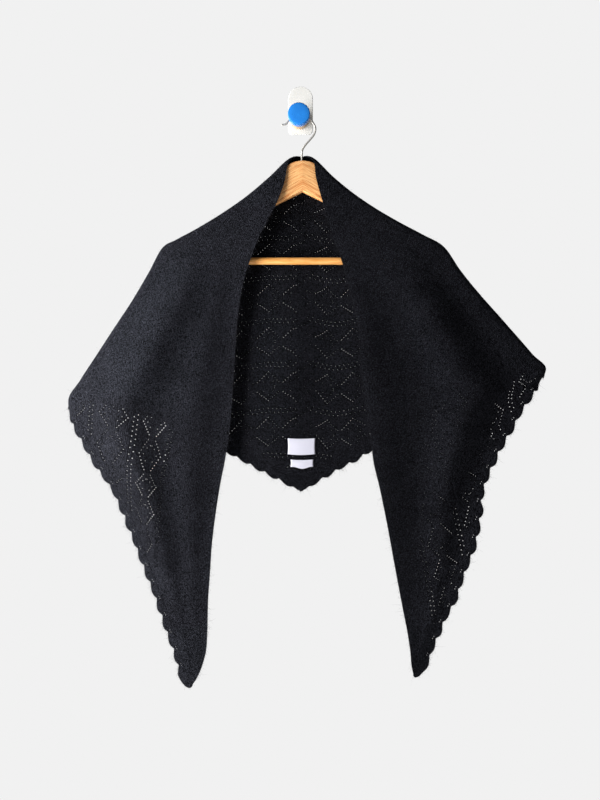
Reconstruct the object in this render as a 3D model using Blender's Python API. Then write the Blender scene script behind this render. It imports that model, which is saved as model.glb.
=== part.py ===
# Triangular lace shawl draped over a wooden coat hanger that hangs on a wall hook.
# Origin: middle of the wall plate's back face. +X is the viewer's right, -Y comes out of the wall, +Z is up.
# Tables and sizes are in millimetres; metres() turns them to scene units.

import math
from collections import namedtuple

import bmesh
import bpy
from mathutils import Vector
from mathutils.bvhtree import BVHTree

# Knitted cloth
wall = 2.0                # thickness of the knit
seam_gap = 0.7            # between the pieces of the body, along the fold over the arms
edging_gap = 0.4          # between the body and its scalloped edging
edging_width = 8.0        # body to the valleys between scallops
scallop_depth = 7.0       # valleys to the scallops' rounded ends
scallop_pitch = 28.7      # along the short sides
scallop_points = 8        # stations for each scallop
narrow_edging = 5.0       # its width at the front tips
corner_edging = 9.0       # and where it starts at an outer corner
corner_taper = 10.0       # length over which it widens there
taper_length = 30.0       # length over which it narrows to a tip, and its gap closes
corner_gap = 2.7          # body to edging on the turn of the fold
tip_gap = 1.0             # body to edging where both run out

# Hanger
hanger_y = -35.0          # middle of the hanger, out from the wall
hanger_x = 3.5            # middle of the hanger, sideways
half_hollow = 8.0         # middle of the hanger to the cloth's middle, in front and behind
arm_thickness = 13.0
arm_rounding = 5.0
arm_clearance = 1.35      # cloth's middle to the wood under it
arm_middle_top = -88.0
arm_middle_bottom = -137.3
arm_slope = 26.0          # degrees, lower edge of each arm
joint_gap = 0.3
bar_z = -247.6
bar_radius = 5.7
bar_reach = 191.5         # middle of the hanger to each shoulder of the bar
bar_chamfer = 0.8
dowel_radius = 3.5
dowel_length = 9.0
dowel_clearance = 0.3
lug_width = 21.0
wire_x = 2.0
wire_radius = 2.0
wire_clearance = 0.3
wire_seat_depth = 26.0
cut_overrun = 5.0         # how far each cutter starts or ends outside the wood

# Wall hook
plate_width = 40.0
plate_height = 78.0
plate_thickness = 3.5
plate_corner = 7.0
knob_x = -2.0
knob_z = -17.5
knob_radius = 17.5
knob_rounding = 1.6
knob_back_y = -40.5
knob_front_y = -57.0
peg_root_radius = 13.6
peg_end_radius = 12.0
peg_rise_at_hook = 0.3    # how much thicker the peg is under the hook than at its end
touch_gap = 0.3

# Labels on the inside of the back
label_thickness = 0.8

# Knitted columns, from the front edge over the fold and down the back. One row for each section.
# inner: front edge. fold: crown over the arm. hem: where the back meets its edging. roll: radius of the turn.
Section = namedtuple("Section", "inner_x inner_z fold_x fold_z hem_x hem_z roll")
left_sections = [
    Section(-18, -88, -19.5, -85, -22, -592, 4.0),      # neck
    Section(-26, -123, -50.5, -114, -54, -576, 6.5),
    Section(-38, -156, -86, -144, -88, -558, 6.5),
    Section(-55, -188, -123, -170, -124, -539, 6.5),
    Section(-69, -217, -163, -194.5, -163, -519, 6.5),
    Section(-80, -247, -198, -213.5, -198, -502, 6.5),
    Section(-90, -276, -221, -227, -224, -491, 7.5),    # end of the arm
    Section(-97, -313, -242, -265, -249, -482, 10.0),
    Section(-102, -356, -269, -311, -274, -475, 12.0),
    Section(-105, -401, -298, -355, -301, -468, 12.0),
    Section(-108, -446, -326, -398, -328, -463, 10.0),
    Section(-111, -488, -352, -438, -352, -463, 8.0),
    Section(-115, -527, -371, -472, -371.3, -474, 5.0),  # outer corner
]
right_sections = [
    Section(20, -88, 22, -84, 25, -590, 4.0),
    Section(25, -117, 52, -113, 54, -573, 6.5),
    Section(35, -154, 85, -140, 87, -555, 6.5),
    Section(44, -186, 122, -165, 123, -530, 6.5),
    Section(55, -219, 160, -187, 160, -504, 6.5),
    Section(66, -251, 196, -206, 196, -482, 6.5),
    Section(75, -284, 229, -225, 228, -462, 7.5),
    Section(84, -318, 255, -262, 256, -446, 10.0),
    Section(92, -355, 284, -298, 285, -432, 12.0),
    Section(94, -395, 315, -333, 315, -421, 12.0),
    Section(98, -438, 345, -367, 346, -414, 10.0),
    Section(104, -483, 371, -397, 371, -414, 8.0),
    Section(110, -527, 392, -422, 392.3, -424, 5.0),
]
# Below the outer corners the fronts hang free. seam: where the front meets its edging.
Hanging = namedtuple("Hanging", "inner_x inner_z seam_x seam_z")
left_hanging = [
    Hanging(-121, -568, -350, -512),
    Hanging(-128, -603, -322, -563),
    Hanging(-135, -648, -297, -600),
    Hanging(-141, -697, -274, -646),
    Hanging(-144, -743, -254, -698),
    Hanging(-147, -788, -237, -743),
    Hanging(-148, -832, -219, -790),
    Hanging(-150, -867, -204, -836),
    Hanging(-157, -894, -189, -882),
    Hanging(-168, -917, -181, -914),
    Hanging(-176, -931, -178.5, -930),
]
right_hanging = [
    Hanging(115, -568, 360, -456),
    Hanging(124, -606, 329, -508),
    Hanging(133, -648, 304, -553),
    Hanging(141, -689, 282, -606),
    Hanging(148, -727, 276, -655),
    Hanging(155, -764, 267, -701),
    Hanging(162, -800, 251, -744),
    Hanging(169, -835, 236, -787),
    Hanging(174, -867, 215, -829),
    Hanging(179, -893, 195, -873),
    Hanging(183, -910, 186.5, -909),
]
neck_middle = (2.0, -80.0, 1.0, -604.0)   # top and hem of the back's middle column
neck_roll = 4.0
corner_row = 12           # outer corner, counted in sections from the neck

# Folds of the fronts. Places run from 0 at the front edge to 1 at the fold or edging.
Fold = namedtuple("Fold", "place_top place_corner place_tip forward half_width")
left_folds = [
    Fold(0.05, 0.00, 0.05, 7.0, 0.07),     # rolled front edge
    Fold(0.20, 0.10, 0.25, -6.0, 0.07),
    Fold(0.35, 0.26, 0.45, 8.0, 0.09),
    Fold(0.50, 0.58, 0.70, 27.0, 0.17),    # main ridge
    Fold(0.85, 0.88, 0.90, -3.0, 0.10),
]
right_folds = [
    Fold(0.00, 0.00, 0.00, 17.0, 0.11),    # rolled front edge
    Fold(0.25, 0.24, 0.30, -6.0, 0.11),
    Fold(0.50, 0.55, 0.62, 30.0, 0.17),    # main ridge
    Fold(0.80, 0.80, 0.85, -5.0, 0.10),
]
# Folds of the back: x at the top and at the hem, and how far each stands towards the wall.
BackFold = namedtuple("BackFold", "top_x hem_x inward half_width")
back_folds = [
    BackFold(-225, -300, 7.0, 30.0),
    BackFold(-190, -215, -5.0, 30.0),
    BackFold(-110, -130, 5.0, 38.0),
    BackFold(-30, -45, -4.0, 40.0),
    BackFold(45, 60, 4.0, 42.0),
    BackFold(125, 140, -4.0, 36.0),
    BackFold(200, 225, 6.0, 32.0),
    BackFold(235, 300, -4.0, 28.0),
]
free_roll = 12.0          # radius of the turn where a front leaves the fold
front_lean = 8.0          # how much further forward the front edge stands than the fold
back_lean = 7.0           # how much nearer the wall the hem hangs than the fold
fold_start_row = 4.0      # folds grow from here
fold_full_row = 10.5      # to here
fade_row = 13.0           # and shrink again from here to the tips
tip_fading = 0.75         # by this share

crown_steps = (0.0, 0.05, 0.2, 0.5, 1.0)   # columns across the turn, in radii
flat_columns = 10
back_columns = 9


def metres(point):
    return Vector(point) * 0.001


def mix(a, b, share):
    return a + (b - a) * share


def smoothstep(low, high, value):
    share = min(max((value - low) / (high - low), 0.0), 1.0)
    return share * share * (3 - 2 * share)


def spline(rows, place):
    """Catmull-Rom curve through the rows at a place counted in rows."""
    last = len(rows) - 1
    index = min(int(place), last - 1)
    share = place - index
    before, start, end, after = (rows[min(max(index + k, 0), last)] for k in (-1, 0, 1, 2))
    values = []
    for p, q, r, s in zip(before, start, end, after):
        values.append(
            0.5 * (2 * q + (r - p) * share + (2 * p - 5 * q + 4 * r - s) * share**2
                   + (3 * q - p - 3 * r + s) * share**3)
        )
    return values


def quarter_turn(share):
    """Boxy quarter of the turn over the arm: 0 on the crown, 1 where the cloth hangs down."""
    share = min(max(share, 0.0), 1.0)
    return (1 - (1 - share) ** 2.5) ** 0.4


def front_rows(sections, hanging):
    upper = [(row.inner_x, row.inner_z, row.fold_x, row.fold_z, row.roll) for row in sections]
    lower = [(row.inner_x, row.inner_z, row.seam_x, row.seam_z, free_roll) for row in hanging]
    return upper + lower


def front_point(rows, folds, place, from_fold):
    """Point of a front's middle surface; from_fold is the distance from the fold or edging."""
    inner_x, inner_z, outer_x, outer_z, roll = spline(rows, place)
    width = math.hypot(inner_x - outer_x, inner_z - outer_z)
    across = 1 - min(from_fold / width, 1.0)
    free = smoothstep(corner_row, corner_row + 1, place)
    edge = mix(seam_gap / 2, half_hollow, free)
    soft_turn = math.sin(min(from_fold / roll, 1.0) * math.pi / 2)
    forward = edge + (half_hollow - edge) * mix(quarter_turn(from_fold / roll), soft_turn, free**0.5)
    forward += front_lean * (1 - across) * smoothstep(0, 3, place)
    tip_row = len(rows) - 1
    strength = smoothstep(fold_start_row, fold_full_row, place)
    strength *= 1 - tip_fading * smoothstep(fade_row, tip_row, place)
    held = 1 - smoothstep(corner_row, corner_row + 3, place)
    for fold in folds:
        if place < corner_row:
            middle = mix(fold.place_top, fold.place_corner, smoothstep(0, corner_row, place))
        else:
            hanging_share = (place - corner_row) / (tip_row - corner_row)
            middle = mix(fold.place_corner, fold.place_tip, hanging_share)
        bump = math.exp(-(((across - middle) / fold.half_width) ** 2))
        forward += fold.forward * strength * bump * (1 - held * across**8)
    return metres((mix(inner_x, outer_x, across), hanger_y - forward, mix(inner_z, outer_z, across)))


def column_distances(width, roll, columns):
    """Distances from the fold: close together round the turn, then even."""
    turn = min(roll, 0.4 * width)
    crown = [step * turn for step in crown_steps]
    return crown + [mix(turn, width, k / columns) for k in range(1, columns + 1)]


def front_surface(rows, folds):
    places = [k / 2 for k in range(2 * corner_row)]
    places += [corner_row + k / 4 for k in range(4)] + list(range(corner_row + 1, len(rows)))
    grid = []
    for place in places:
        inner_x, inner_z, outer_x, outer_z, roll = spline(rows, place)
        width = math.hypot(inner_x - outer_x, inner_z - outer_z)
        distances = column_distances(width, roll, flat_columns)
        grid.append([front_point(rows, folds, place, d) for d in distances])
    return places, grid


def back_rows():
    left, right = (
        [(row.fold_x, row.fold_z, row.hem_x, row.hem_z, row.roll, seam_gap / 2) for row in sections]
        for sections in (left_sections, right_sections)
    )
    return left[::-1] + [(*neck_middle, neck_roll, half_hollow)] + right


def back_point_at(place, from_fold):
    """Point of the back's middle surface; place counts sections from the left corner."""
    top_x, top_z, hem_x, hem_z, roll, edge = spline(back_rows(), place)
    edge = min(max(edge, seam_gap / 2), half_hollow)
    width = math.hypot(top_x - hem_x, top_z - hem_z)
    down = min(from_fold / width, 1.0)
    inward = edge + (half_hollow - edge) * quarter_turn(from_fold / roll)
    inward += back_lean * down * smoothstep(0, 150, width)
    x = mix(top_x, hem_x, down)
    for fold in back_folds:
        middle = mix(fold.top_x, fold.hem_x, down)
        bump = math.exp(-(((x - middle) / fold.half_width) ** 2))
        inward += fold.inward * bump * smoothstep(0.08, 0.5, down) * smoothstep(20, 120, width)
    return metres((x, hanger_y + inward, mix(top_z, hem_z, down)))


def back_surface():
    last = len(back_rows()) - 1
    places = [k / 2 for k in range(2 * last + 1)]
    grid = []
    for place in places:
        top_x, top_z, hem_x, hem_z, roll, edge = spline(back_rows(), place)
        width = math.hypot(top_x - hem_x, top_z - hem_z)
        distances = column_distances(width, roll, back_columns)
        grid.append([back_point_at(place, d) for d in distances])
    return grid


def material(name, colour, roughness, metallic=0.0):
    made = bpy.data.materials.new(name)
    made.use_nodes = True
    shader = made.node_tree.nodes["Principled BSDF"]
    shader.inputs["Base Color"].default_value = (*colour, 1.0)
    shader.inputs["Roughness"].default_value = roughness
    shader.inputs["Metallic"].default_value = metallic
    made.diffuse_color = (*colour, 1.0)
    return made


def finished(name, mesh_data, finish):
    obj = bpy.data.objects.new(name, mesh_data)
    bpy.context.scene.collection.objects.link(obj)
    obj.data.materials.append(finish)
    return obj


def sheet(name, grid, finish, towards, thickness=wall):
    """Closed wall of even thickness round a grid of points on its middle surface."""
    build = bmesh.new()
    lines = [[build.verts.new(point) for point in line] for line in grid]
    for first, second in zip(lines, lines[1:]):
        for a, b, c, d in zip(first, first[1:], second[1:], second):
            build.faces.new((a, b, c, d))
    bmesh.ops.triangulate(build, faces=build.faces, quad_method="SHORT_EDGE")
    build.normal_update()
    if sum((face.normal.y * towards for face in build.faces)) < 0:
        bmesh.ops.reverse_faces(build, faces=build.faces)
    data = bpy.data.meshes.new(name)
    build.to_mesh(data)
    build.free()
    obj = finished(name, data, finish)
    data.shade_smooth()
    solid = obj.modifiers.new("Knit wall", "SOLIDIFY")
    solid.thickness = thickness * 0.001
    solid.offset = 0.0
    return obj


def edging(name, border, within, finish, towards, ends_at_tip):
    """Strip of scallops along a border, from an outer corner to a front tip or the back point.

    within is the panel's line just inside the border.
    """
    lengths = [0.0]
    for first, second in zip(border, border[1:]):
        lengths.append(lengths[-1] + (second - first).length * 1000)
    total = lengths[-1]
    outwards = []
    for index, (edge, inside) in enumerate(zip(border, within)):
        outward = (edge - inside).normalized()
        run = (border[min(index + 1, len(border) - 1)] - border[max(index - 1, 0)]).normalized()
        if index > 0:
            outward -= run * outward.dot(run)
        outwards.append(outward.normalized())
    if not ends_at_tip:
        outwards[-1] = Vector((0, 0, -1))
    stations = round(total / scallop_pitch) * scallop_points
    grid = []
    for station in range(stations + 1):
        along = total * station / stations
        index = max(k for k, length in enumerate(lengths[:-1]) if length <= along + 1e-9)
        share = (along - lengths[index]) / (lengths[index + 1] - lengths[index])
        root = border[index].lerp(border[index + 1], share)
        outward = outwards[index].lerp(outwards[index + 1], share).normalized()
        bulge = abs(math.cos(math.pi * station / scallop_points)) ** 0.75
        from_corner = min(along / corner_taper, 1.0)
        reach = mix(corner_edging, edging_width + scallop_depth * bulge, from_corner)
        gap = mix(corner_gap, edging_gap, min(along / taper_length, 1.0))
        if ends_at_tip:
            from_tip = min((total - along) / taper_length, 1.0)
            reach = mix(narrow_edging, reach, from_tip)
            gap = mix(tip_gap, gap, from_tip)
        grid.append([root + outward * (gap + reach * part) * 0.001 for part in (0.0, 0.5, 1.0)])
    sheet(name, grid, finish, towards)


def extruded(name, outline, back_y, front_y, finish, rounding, segments):
    """Board with its outline in XZ, from back_y out to front_y, edges rounded."""
    build = bmesh.new()
    corners = [build.verts.new(metres((x, back_y, z))) for x, z in outline]
    face = build.faces.new(corners)
    made = bmesh.ops.extrude_face_region(build, geom=[face])
    moved = [item for item in made["geom"] if isinstance(item, bmesh.types.BMVert)]
    bmesh.ops.translate(build, verts=moved, vec=(0, (front_y - back_y) * 0.001, 0))
    bmesh.ops.recalc_face_normals(build, faces=build.faces)
    data = bpy.data.meshes.new(name)
    build.to_mesh(data)
    build.free()
    obj = finished(name, data, finish)
    bevel = obj.modifiers.new("Rounded edges", "BEVEL")
    bevel.width = rounding * 0.001
    bevel.segments = segments
    bevel.limit_method = "ANGLE"
    bevel.angle_limit = math.radians(50)
    return obj


def turned(name, profile, start, direction, finish, sides=32):
    """Solid turned round an axis; the profile lists distance along the axis and radius."""
    build = bmesh.new()
    axis = Vector(direction).normalized()
    side = axis.orthogonal().normalized()
    points = [build.verts.new(metres(start) + axis * along * 0.001 + side * radius * 0.001)
              for along, radius in profile]
    edges = [build.edges.new(pair) for pair in zip(points, points[1:])]
    bmesh.ops.spin(build, geom=points + edges, cent=metres(start), axis=axis, angle=2 * math.pi,
                   steps=sides, use_merge=True)
    bmesh.ops.remove_doubles(build, verts=build.verts, dist=1e-6)
    open_edges = [edge for edge in build.edges if edge.is_boundary]
    bmesh.ops.holes_fill(build, edges=open_edges, sides=0)
    bmesh.ops.recalc_face_normals(build, faces=build.faces)
    data = bpy.data.meshes.new(name)
    build.to_mesh(data)
    build.free()
    data.shade_smooth()
    data.set_sharp_from_angle(angle=math.radians(40))
    return finished(name, data, finish)


def wire(name, points, radius, finish):
    """Bent wire along a smooth curve through its points."""
    last = len(points) - 1
    path = [spline(points, k / 4) for k in range(4 * last + 1)]
    curve = bpy.data.curves.new(name, "CURVE")
    curve.dimensions = "3D"
    curve.bevel_depth = radius * 0.001
    curve.bevel_resolution = 3
    curve.use_fill_caps = True
    line = curve.splines.new("POLY")
    line.points.add(len(path) - 1)
    for target, (x, z) in zip(line.points, path):
        target.co = (*metres((x, hanger_y, z)), 1.0)
    return finished(name, curve, finish)


def cutter(name, profile, start, direction):
    tool = turned(name, profile, start, direction, bpy.data.materials["Wood"])
    tool.hide_render = True
    tool.display_type = "WIRE"
    return tool


def cut(obj, tool):
    boolean = obj.modifiers.new(tool.name, "BOOLEAN")
    boolean.operation = "DIFFERENCE"
    boolean.object = tool


def body_of_shawl(knit):
    """Back, fronts and their scalloped edgings; returns the back's surface for the labels."""
    back = back_surface()
    sheet("shawl_back", back, knit, towards=1)
    hem = [line[-1] for line in back]
    above_hem = [line[-2] for line in back]
    middle = len(back) // 2
    beside_point = metres((touch_gap, 0, 0))
    for side, ahead, step in (("left", -1, 1), ("right", 1, -1)):
        stretch = slice(1, middle) if step > 0 else slice(-2, middle, -1)
        border = hem[stretch] + [hem[middle] + beside_point * ahead]
        within = above_hem[stretch] + [above_hem[middle]]
        edging(f"edging_back_{side}", border, within, knit, 1, False)
    for side, sections, hanging, folds in (
        ("left", left_sections, left_hanging, left_folds),
        ("right", right_sections, right_hanging, right_folds),
    ):
        rows = front_rows(sections, hanging)
        places, grid = front_surface(rows, folds)
        sheet(f"shawl_front_{side}", grid, knit, towards=-1)
        start = places.index(corner_row)
        border = [line[0] for line in grid[start:]]
        within = [grid[start - 1][0]] + [line[1] for line in grid[start + 1:]]
        edging(f"edging_front_{side}", border, within, knit, -1, True)
    return back


def labels(back, tape):
    """Two sewn labels that follow the back's inner face."""
    points = [point for line in back for point in line]
    step = len(back[0])
    faces = [(r * step + c, r * step + c + 1, (r + 1) * step + c + 1, (r + 1) * step + c)
             for r in range(len(back) - 1) for c in range(step - 1)]
    surface = BVHTree.FromPolygons(points, faces)
    lift = (wall / 2 + touch_gap + label_thickness / 2) * 0.001
    for name, left, right, top, bottom in (
        ("label_top", -20.5, 23.5, -532.0, -559.0),
        ("label_care", -16.0, 20.5, -566.5, -579.5),
    ):
        grid = []
        for across in range(7):
            line = []
            for down in range(5):
                x = mix(left, right, across / 6)
                z = mix(top, bottom, down / 4)
                hit = surface.ray_cast(metres((x, -200.0, z)), Vector((0, 1, 0)))
                line.append(hit[0] + Vector((0, -lift, 0)))
            grid.append(line)
        sheet(name, grid, tape, towards=-1, thickness=label_thickness)


def arm_outline(sections, mirror):
    """Outline of one arm: its top follows the fold that lies on it, its end drops to hold the bar."""
    rows = [(row.fold_x, row.fold_z) for row in sections]
    outline = [(joint_gap / 2, arm_middle_top), (11.0, arm_middle_top - 1.5), (21.5, arm_middle_top - 5.5)]
    steps = [1 + k / 2 for k in range(9)] + [5.3]
    for place in steps:
        x, z = spline(rows, place)
        ahead_x, ahead_z = spline(rows, place + 0.05)
        run = Vector((abs(ahead_x - x), ahead_z - z)).normalized()
        reach = abs(x - hanger_x)
        outline.append((reach + arm_clearance * run.y, z - arm_clearance * run.x))
    lug_inner = bar_reach + touch_gap
    lug_outer = lug_inner + lug_width
    lower_edge_end = lug_inner - 8
    lower_edge_z = arm_middle_bottom - math.tan(math.radians(arm_slope)) * lower_edge_end
    outline += [
        (lug_outer - 3, bar_z + 18),
        (lug_outer, bar_z + 9),
        (lug_outer, bar_z - 4),
        (lug_outer - 5, bar_z - 10),
        (lug_inner + 4, bar_z - 10),
        (lug_inner, bar_z - 6),
        (lug_inner, bar_z + 9),
        (lower_edge_end, lower_edge_z),
        (joint_gap / 2, arm_middle_bottom),
    ]
    return [(hanger_x + mirror * reach, z) for reach, z in outline]


def hanger(wood, steel):
    half = arm_thickness / 2
    seat_bottom = arm_middle_top - wire_seat_depth
    seat_radius = wire_radius + wire_clearance
    seat_profile = [(0, seat_radius), (wire_seat_depth + cut_overrun, seat_radius)]
    seat = cutter("cut_wire_seat", seat_profile, (wire_x, hanger_y, seat_bottom), (0, 0, 1))
    socket_radius = dowel_radius + dowel_clearance
    socket_profile = [(0, socket_radius), (cut_overrun + dowel_length + 1, socket_radius)]
    for side, mirror, sections in (("left", -1, left_sections), ("right", 1, right_sections)):
        outline = arm_outline(sections, mirror)
        arm = extruded(f"hanger_arm_{side}", outline, hanger_y + half, hanger_y - half, wood, arm_rounding, 2)
        start = hanger_x + mirror * (bar_reach - cut_overrun)
        socket = cutter(f"cut_dowel_{side}", socket_profile, (start, hanger_y, bar_z), (mirror, 0, 0))
        cut(arm, socket)
        cut(arm, seat)
    half_bar = [
        (bar_reach - bar_chamfer, bar_radius),
        (bar_reach, bar_radius - bar_chamfer),
        (bar_reach, dowel_radius),
        (bar_reach + dowel_length, dowel_radius),
        (bar_reach + dowel_length, 0),
    ]
    profile = [(-along, radius) for along, radius in half_bar[::-1]] + half_bar
    turned("hanger_bar", profile, (hanger_x, hanger_y, bar_z), (1, 0, 0), wood, sides=24)
    rest_z = knob_z + peg_end_radius + peg_rise_at_hook + touch_gap + wire_radius
    path = [
        (wire_x, seat_bottom + 1.5),
        (wire_x, -92.0),
        (wire_x + 0.1, -75.0),
        (5.5, -65.5),
        (15.0, -54.5),
        (22.5, -44.0),
        (24.3, -34.5),
        (21.3, -26.5),
        (17.0, -18.0),
        (10.2, -8.2),
        (knob_x, rest_z),
        (-14.3, -8.2),
        (-19.5, -20.0),
        (-24.0, -28.0),
        (-29.0, -31.5),
    ]
    wire("hanger_hook", path, wire_radius, steel)


def plate_outline():
    half = plate_width / 2
    top = plate_height / 2 - half
    bottom = -plate_height / 2
    outline = []
    for centre_x, centre_z, radius, start, steps in (
        (0.0, top, half, 0.0, 20),
        (plate_corner - half, bottom + plate_corner, plate_corner, 180.0, 5),
        (half - plate_corner, bottom + plate_corner, plate_corner, 270.0, 5),
    ):
        sweep = 180.0 if radius == half else 90.0
        for k in range(steps + 1):
            angle = math.radians(start + sweep * k / steps)
            outline.append((centre_x + radius * math.cos(angle), centre_z + radius * math.sin(angle)))
    return outline


def wall_hook(plastic, wood, paint):
    extruded("wall_plate", plate_outline(), 0.0, -plate_thickness, plastic, 0.8, 2)
    peg_length = -knob_back_y - plate_thickness - 2 * touch_gap
    peg_profile = [(0, 0), (0, peg_root_radius), (peg_length, peg_end_radius), (peg_length, 0)]
    peg_start = (knob_x, -plate_thickness - touch_gap, knob_z)
    turned("wall_peg", peg_profile, peg_start, (0, -1, 0), wood, sides=32)
    depth = knob_back_y - knob_front_y
    knob_profile = [
        (0, 0),
        (0, knob_radius - knob_rounding),
        (knob_rounding, knob_radius),
        (depth - knob_rounding, knob_radius),
        (depth - 0.3 * knob_rounding, knob_radius - 0.3 * knob_rounding),
        (depth, knob_radius - knob_rounding),
        (depth, 0),
    ]
    turned("wall_knob", knob_profile, (knob_x, knob_back_y, knob_z), (0, -1, 0), paint, sides=48)


def main():
    for obj in list(bpy.data.objects):
        bpy.data.objects.remove(obj, do_unlink=True)
    knit = material("Black mohair knit", (0.012, 0.012, 0.015), 0.95)
    tape = material("White woven tape", (0.80, 0.79, 0.88), 0.8)
    wood = material("Wood", (0.72, 0.47, 0.25), 0.5)
    steel = material("Steel wire", (0.62, 0.62, 0.64), 0.25, 1.0)
    plastic = material("White plastic", (0.87, 0.86, 0.83), 0.45)
    paint = material("Blue paint", (0.03, 0.20, 0.72), 0.4)
    labels(body_of_shawl(knit), tape)
    hanger(wood, steel)
    wall_hook(plastic, wood, paint)


main()
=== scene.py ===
import math

import bmesh
import bpy
import numpy as np
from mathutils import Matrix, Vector
from mathutils.bvhtree import BVHTree


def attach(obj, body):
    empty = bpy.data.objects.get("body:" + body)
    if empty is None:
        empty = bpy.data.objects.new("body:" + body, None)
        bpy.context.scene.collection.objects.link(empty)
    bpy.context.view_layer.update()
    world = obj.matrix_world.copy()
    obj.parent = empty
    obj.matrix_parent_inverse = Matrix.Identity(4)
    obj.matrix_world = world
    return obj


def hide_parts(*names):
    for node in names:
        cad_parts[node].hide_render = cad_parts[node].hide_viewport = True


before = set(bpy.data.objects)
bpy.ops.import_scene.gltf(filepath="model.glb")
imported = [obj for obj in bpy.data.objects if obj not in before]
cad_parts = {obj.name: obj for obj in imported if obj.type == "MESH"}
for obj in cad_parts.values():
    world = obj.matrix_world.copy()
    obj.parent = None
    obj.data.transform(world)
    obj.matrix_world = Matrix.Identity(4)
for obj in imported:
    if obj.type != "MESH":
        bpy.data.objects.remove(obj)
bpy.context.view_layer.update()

# Tables are in millimetres; +Z up, -Y out of the wall, +X to the viewer's right
scene = bpy.context.scene


def linear(hexColour):  # sRGB hex to linear
    channels = [int(hexColour[k:k + 2], 16) / 255 for k in (1, 3, 5)]
    return [c / 12.92 if c <= 0.04045 else ((c + 0.055) / 1.055) ** 2.4 for c in channels] + [1.0]


def addNode(near, kind, inputs=None, **settings):  # near: the tree, or a node or socket in it
    node = near.id_data.nodes.new(kind)
    for name, value in settings.items():
        setattr(node, name, value)
    connect(node, inputs or {})
    return node


def connect(node, inputs):  # an input is a value or another node's output
    for name, value in inputs.items():
        if isinstance(value, bpy.types.NodeSocket):
            node.id_data.links.new(value, node.inputs[name])
        else:
            node.inputs[name].default_value = value


def objectPlace(near):
    return addNode(near, "ShaderNodeTexCoord").outputs["Object"]


def noise(place, scale, **inputs):
    return addNode(place, "ShaderNodeTexNoise", {"Vector": place, "Scale": scale, **inputs}).outputs[0]


def calculate(operation, *values):
    return addNode(values[0], "ShaderNodeMath", dict(enumerate(values)), operation=operation).outputs[0]


def mapRange(value, *limits):  # from low, from high, to low, to high
    return addNode(value, "ShaderNodeMapRange", dict(enumerate((value, *limits)))).outputs[0]


def blend(share, first, second):  # a colour is sRGB hex or another node's output
    first, second = (linear(colour) if isinstance(colour, str) else colour for colour in (first, second))
    return addNode(share, "ShaderNodeMix", {0: share, 6: first, 7: second}, data_type="RGBA").outputs[2]


def scaleColour(colour, factor):
    return addNode(colour, "ShaderNodeVectorMath", {0: colour, "Scale": factor}, operation="SCALE").outputs[0]


def bumpFrom(height, strength, distance):
    inputs = {"Height": height, "Strength": strength, "Distance": distance}
    return addNode(height, "ShaderNodeBump", inputs).outputs[0]


def newMaterial(name, values):  # a Principled material with these socket values
    material = bpy.data.materials.new(name)
    material.use_nodes = True
    shader = material.node_tree.nodes["Principled BSDF"]
    connect(shader, values)
    return material, shader


def placePiece(name, data, materials, replaced=()):
    piece = bpy.data.objects.new(name, data)
    scene.collection.objects.link(piece)
    for material in materials:
        data.materials.append(material)
    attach(piece, "root")
    if replaced:
        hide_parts(*replaced)
    return piece


def addPiece(name, build, materials, replaced):
    data = bpy.data.meshes.new(name)
    build.to_mesh(data)
    build.free()
    return placePiece(name, data, materials, replaced)


def addWall(piece, name, thickness):  # a second material, a darker copy with painted shade, is for the wrong side
    wall = piece.modifiers.new(name, "SOLIDIFY")
    wall.thickness = thickness / 1000
    wall.offset = 0
    wall.material_offset = len(piece.data.materials) - 1


# Camera, light and floor
view = {"x": -0.9, "y": -2235.0, "z": -469.8, "lens": 61.875}
cameraData = bpy.data.cameras.new("photo view")
cameraData.lens = view["lens"]
cameraData.clip_end = 50
camera = bpy.data.objects.new("photo view", cameraData)
camera.location = (view["x"] / 1000, view["y"] / 1000, view["z"] / 1000)
camera.rotation_euler = (math.radians(90), 0, 0)
scene.collection.objects.link(camera)
scene.camera = camera
scene.view_settings.view_transform = "Standard"

light = {
    "backdrop": "#F1F1F1",   # what the camera sees behind the object
    "ambient": 0.21,         # how much of it lights the object
    # Each lamp: power in watts; width and height, place and aim in metres
    "lamps": {
        # Tall strip close by on the left, so the light falls off to the right
        "key": (16.5, (0.40, 1.0), (-0.62, -0.32, -0.38), (0, 0, -0.42)),
        # Pale table below and in front
        "bounce": (4.4, (0.7, 0.7), (0.02, -0.55, -1.3), (0, 0, -0.7)),
        # Behind, seen only from the back and sides
        "rim": (20.0, (1.4, 1.4), (-0.25, 2.0, 0.1), (0, 0, -0.5)),
    },
}
world = bpy.data.worlds.new("pale studio")
world.use_nodes = True
scene.world = world
worldTree = world.node_tree
worldTree.nodes.clear()
rays = addNode(worldTree, "ShaderNodeLightPath")
strength = addNode(worldTree, "ShaderNodeMix", {0: rays.outputs["Is Camera Ray"], 2: light["ambient"], 3: 1.0})
glow = addNode(worldTree, "ShaderNodeBackground",
               {"Color": linear(light["backdrop"]), "Strength": strength.outputs[0]})
addNode(worldTree, "ShaderNodeOutputWorld", {"Surface": glow.outputs[0]})

for name, (power, size, place, aim) in light["lamps"].items():
    lamp = bpy.data.lights.new(name, "AREA")
    lamp.energy = power
    lamp.shape = "RECTANGLE"
    lamp.size, lamp.size_y = size
    holder = bpy.data.objects.new(name, lamp)
    holder.location = place
    holder.rotation_euler = (Vector(aim) - Vector(place)).to_track_quat("-Z", "Y").to_euler()
    holder.visible_camera = False
    scene.collection.objects.link(holder)

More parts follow.
